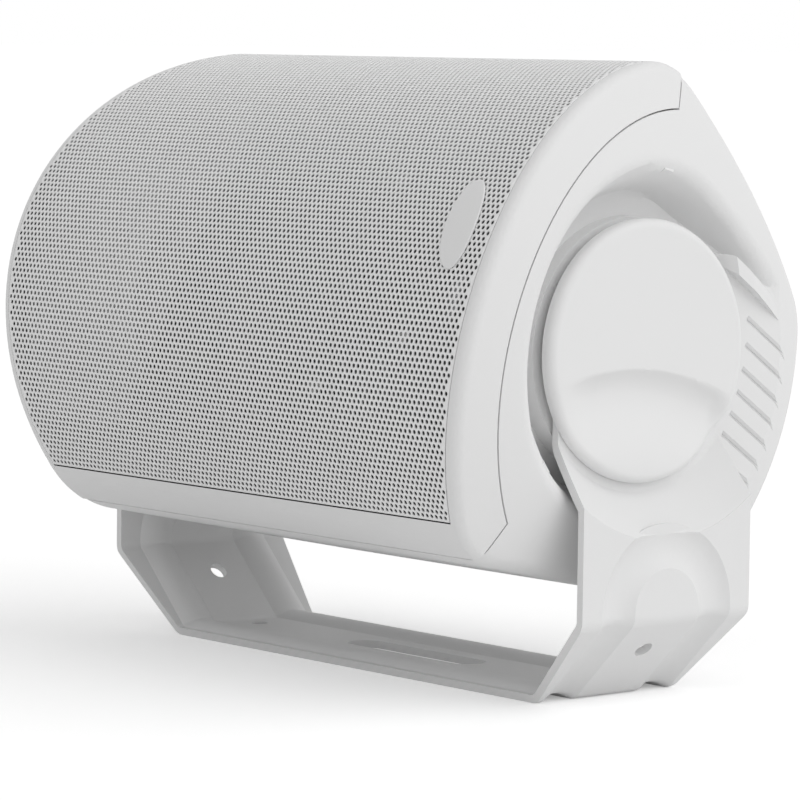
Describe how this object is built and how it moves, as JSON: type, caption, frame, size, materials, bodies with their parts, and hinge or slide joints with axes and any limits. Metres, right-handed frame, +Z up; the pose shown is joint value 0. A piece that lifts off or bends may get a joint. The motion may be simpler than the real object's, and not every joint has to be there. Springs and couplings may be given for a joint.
{
  "type": "outdoor patio speaker",
  "caption": "Weatherproof outdoor speaker with a barrel-shaped moulded cabinet and curved perforated grille, tilting in a U-shaped mounting bracket with a clamp knob at each end",
  "frame": {"origin": "centre of the bracket base's underside, on the floor", "axes": "X along the speaker's length, +Y to the back, +Z up; the grille faces -Y"},
  "size_m": [0.286, 0.2079, 0.2304],
  "materials": {
    "white_powder_coat": "white powder coat over aluminium, fine texture",
    "white_plastic": "white moulded polymer with a fine satin grain",
    "white_grille": "white powder coat over perforated aluminium",
    "badge_face": "plain glossy white, bare",
    "black_plastic": "black moulded polymer",
    "black_rubber": "soft black rubber",
    "zinc_steel": "zinc plated steel",
    "basket_steel": "black painted pressed steel",
    "cone_polymer": "black mineral filled polymer cone",
    "spider_cloth": "resin treated cloth",
    "copper": "enamelled copper winding",
    "ferrite": "grey black ferrite",
    "dome_metal": "anodised aluminium",
    "board_green": "green circuit board",
    "capacitor_skin": "blue heat shrink sleeve",
    "resistor_ceramic": "white ceramic body",
    "gold_brass": "plated brass",
    "red_plastic": "red moulded cap",
    "black_gloss": "black moulded cap"
  },
  "bodies": {
    "bracket": {"bracket": "white_powder_coat"},
    "cabinet": {"rear_shell": "white_plastic", "front_bezel": "white_plastic", "grille": "white_grille", "badge": "badge_face", "insert_left": "gold_brass", "insert_right": "gold_brass", "washer_left": "black_rubber", "washer_right": "black_rubber", "baffle": "black_plastic", "baffle_gasket": "black_rubber", "case_screws": "zinc_steel", "baffle_screws": "zinc_steel", "woofer_basket": "basket_steel", "woofer_gasket": "black_rubber", "woofer_surround": "black_rubber", "woofer_spider": "spider_cloth", "woofer_top_plate": "zinc_steel", "woofer_magnet": "ferrite", "woofer_yoke": "zinc_steel", "woofer_screws": "zinc_steel", "tweeter_plate": "black_plastic", "tweeter_surround": "black_rubber", "tweeter_motor": "zinc_steel", "tweeter_screws": "zinc_steel", "crossover_board": "board_green", "board_screws": "zinc_steel", "inductor": "copper", "capacitors": "capacitor_skin", "resistor": "resistor_ceramic", "terminal_cup": "black_plastic", "cup_screws": "zinc_steel", "post_red": "gold_brass", "post_black": "gold_brass"},
    "knob_left": {"knob_left": "white_plastic", "stud_left": "zinc_steel"},
    "knob_right": {"knob_right": "white_plastic", "stud_right": "zinc_steel"},
    "woofer_moving": {"woofer_cone": "cone_polymer", "woofer_dust_cap": "cone_polymer", "woofer_coil": "copper"},
    "tweeter_moving": {"tweeter_dome": "dome_metal"},
    "nut_red": {"nut_red": "red_plastic"},
    "nut_black": {"nut_black": "black_gloss"}
  },
  "joints": [
    {"name": "tilt", "type": "hinge", "parent": "bracket", "child": "cabinet", "pos_m": [0, 0, 0.127], "axis": [-1, 0, 0], "range_deg": [-22, 61]},
    {"name": "knob_right_turn", "type": "hinge", "parent": "cabinet", "child": "knob_right", "pos_m": [0.125, 0, 0.127], "axis": [1, 0, 0], "range_deg": [0, 360]},
    {"name": "knob_left_turn", "type": "hinge", "parent": "cabinet", "child": "knob_left", "pos_m": [-0.125, 0, 0.127], "axis": [-1, 0, 0], "range_deg": [0, 360]},
    {"name": "woofer_travel", "type": "slide", "parent": "cabinet", "child": "woofer_moving", "axis": [0, -0.8767, 0.481], "range_m": [-0.0035, 0.0035], "stiffness_N_per_m": 1200, "deforming": ["woofer_surround", "woofer_spider"]},
    {"name": "tweeter_travel", "type": "slide", "parent": "cabinet", "child": "tweeter_moving", "axis": [0, -0.8767, 0.481], "range_m": [-0.0003, 0.0003], "stiffness_N_per_m": 14000, "deforming": ["tweeter_surround"]},
    {"name": "nut_red_turn", "type": "hinge", "parent": "cabinet", "child": "nut_red", "pos_m": [0.0095, 0.08329, 0.08131], "axis": [0, 0.8767, -0.481], "range_deg": [0, 360]},
    {"name": "nut_black_turn", "type": "hinge", "parent": "cabinet", "child": "nut_black", "pos_m": [-0.0095, 0.08329, 0.08131], "axis": [0, 0.8767, -0.481], "range_deg": [0, 360]}
  ]
}
